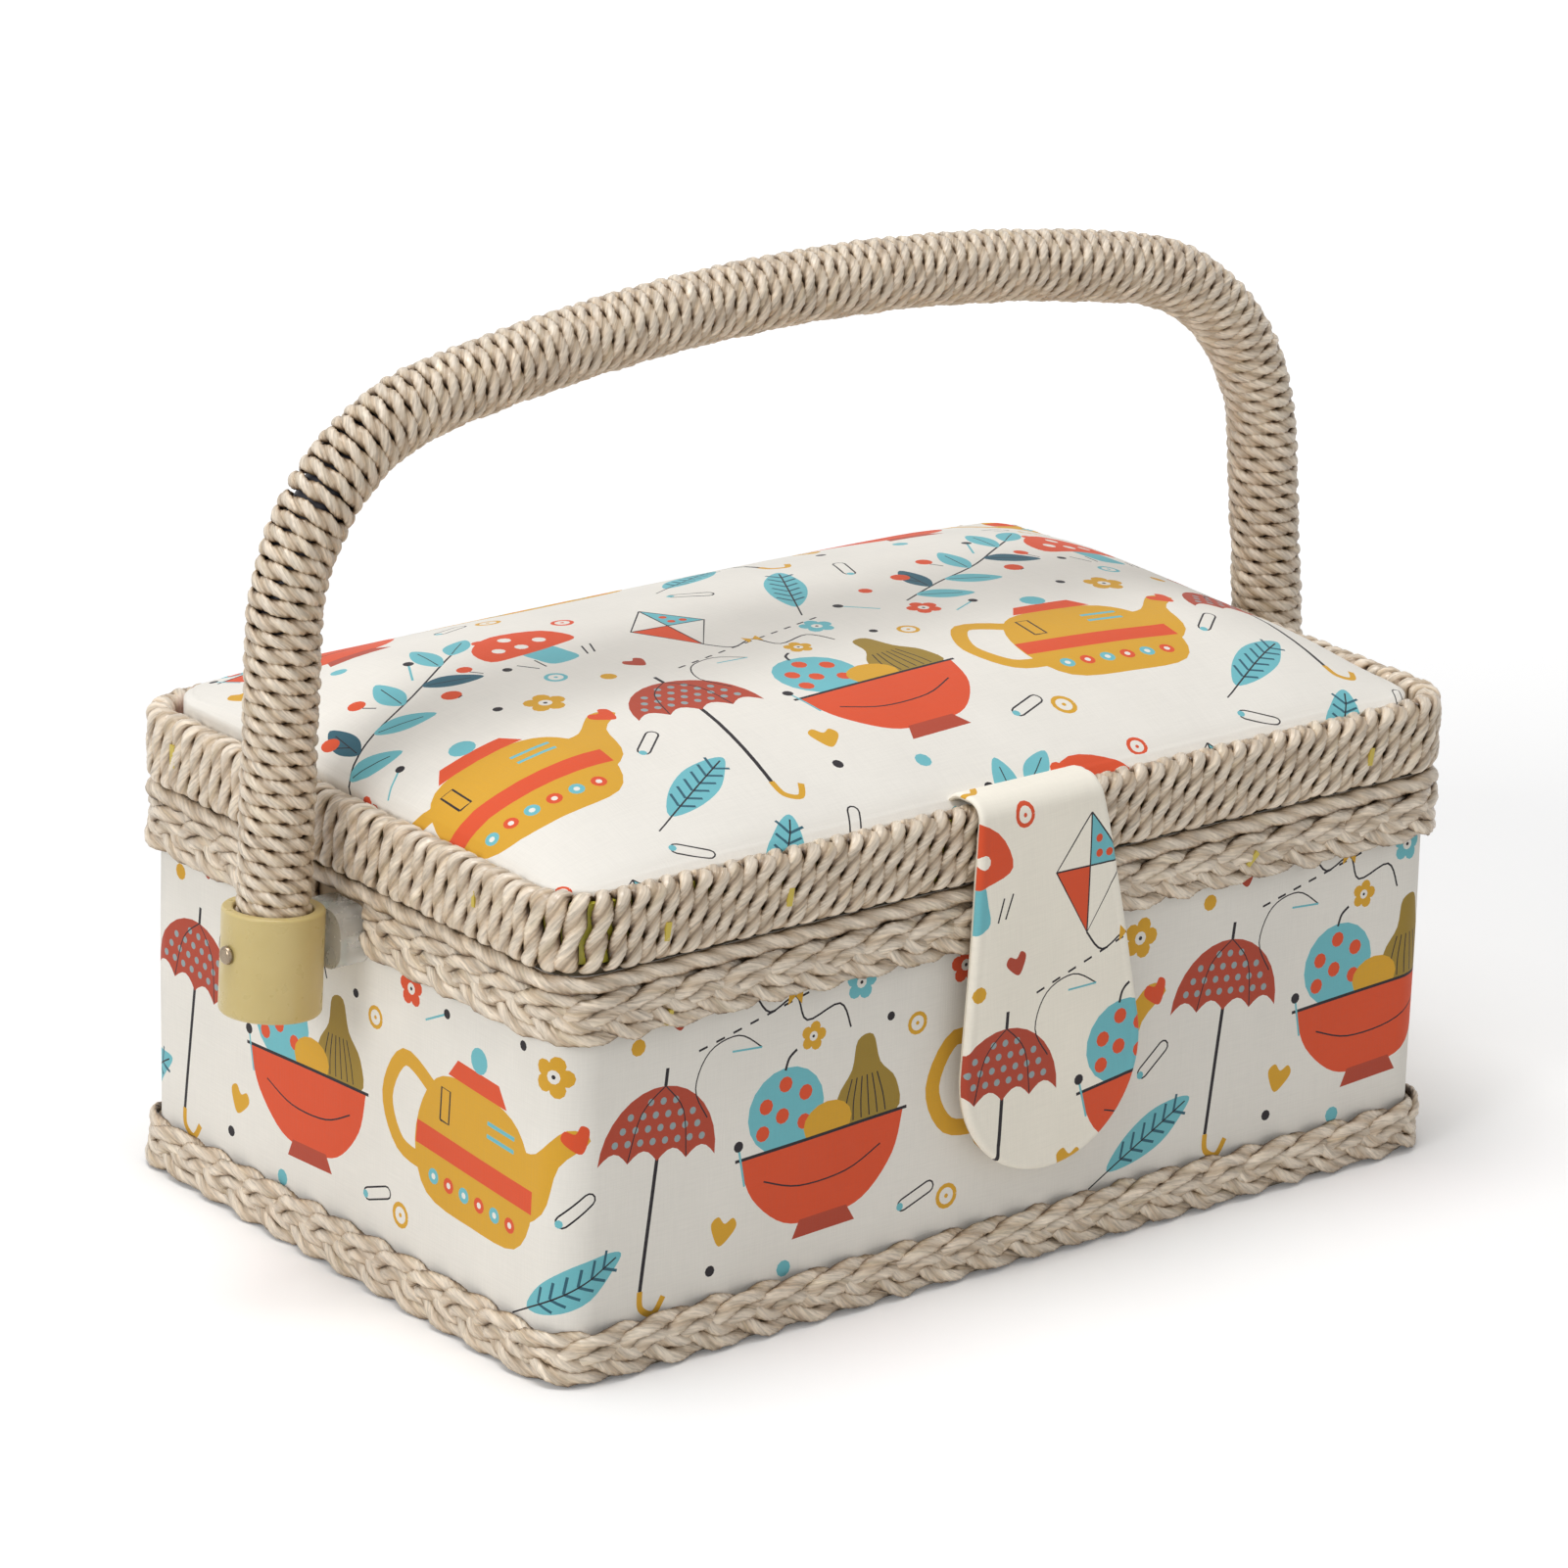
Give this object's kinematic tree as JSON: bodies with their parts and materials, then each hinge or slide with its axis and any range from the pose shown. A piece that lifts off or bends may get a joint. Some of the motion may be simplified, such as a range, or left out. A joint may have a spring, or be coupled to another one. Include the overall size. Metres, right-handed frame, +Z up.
{
  "type": "sewing box",
  "caption": "Rectangular fabric-covered sewing box with a padded hinged lid, magnetic tab closure, lift-out tray and a swinging cord-wrapped carrying handle.",
  "frame": {"origin": "middle of the underside, on the surface that the box stands on", "axes": "+Z up, X along the longer side, -Y towards the closing tab"},
  "size_m": [0.2922, 0.1632, 0.1987],
  "materials": {
    "board": "raw fibreboard",
    "ledge_wood": "planed pine",
    "card": "grey-brown card",
    "printed_cotton": "cream cotton with a coloured print",
    "plain_cotton": "plain cream cotton",
    "cushion_cotton": "orange-red cotton",
    "foam": "upholstery foam",
    "cord": "twisted paper cord, natural beige with a slight shine",
    "hoop_plastic": "olive-yellow strip",
    "core_plastic": "dark plastic rod",
    "socket_plastic": "pale yellow moulded plastic",
    "clear_plastic": "clear moulded plastic",
    "steel": "nickel-plated steel",
    "brass": "brass-plated steel",
    "tray_plastic": "cream vacuum-formed plastic"
  },
  "bodies": {
    "root": {"front_wall": "board", "back_wall": "board", "left_wall": "board", "right_wall": "board", "base_board": "board", "tray_ledge_left": "ledge_wood", "tray_ledge_right": "ledge_wood", "base_sole": "card", "box_cover": "printed_cotton", "wall_lining": "plain_cotton", "floor_pad": "plain_cotton", "lower_braid": "cord", "upper_braid": "cord", "edge_cord": "cord", "pivot_block_left": "clear_plastic", "pivot_block_right": "clear_plastic", "pivot_washers": "steel", "rivet_left": "steel", "rivet_right": "steel", "catch_plate": "steel", "hinge_leaves_box": "brass", "hinge_pins": "brass", "hinge_screws_box": "brass", "tray": "tray_plastic"},
    "lid": {"rim_wrap": "cord", "rim_hoop": "hoop_plastic", "lid_board": "board", "lid_lining": "plain_cotton", "lid_foam": "foam", "lid_cover": "printed_cotton", "pincushion": "cushion_cotton", "lid_pocket": "plain_cotton", "hinge_leaves_lid": "brass", "hinge_screws_lid": "brass", "tab_anchor": "printed_cotton"},
    "tab": {"tab_front": "printed_cotton", "tab_back": "plain_cotton", "tab_stiffener": "card", "tab_magnet": "steel"},
    "handle": {"handle_core": "core_plastic", "handle_wrap": "cord", "socket_left": "socket_plastic", "socket_right": "socket_plastic"}
  },
  "joints": [
    {"name": "lid_hinge", "type": "hinge", "parent": "root", "child": "lid", "pos_m": [0, 0.08, 0.0864], "axis": [-1, 0, 0], "range_deg": [0, 28]},
    {"name": "handle_swing", "type": "hinge", "parent": "root", "child": "handle", "pos_m": [0, 0, 0.075], "axis": [1, 0, 0], "range_deg": [-110, 110]},
    {"name": "tab_lift", "type": "hinge", "parent": "lid", "child": "tab", "pos_m": [0, -0.0783, 0.1047], "axis": [-1, 0, 0], "range_deg": [0, 110]}
  ]
}
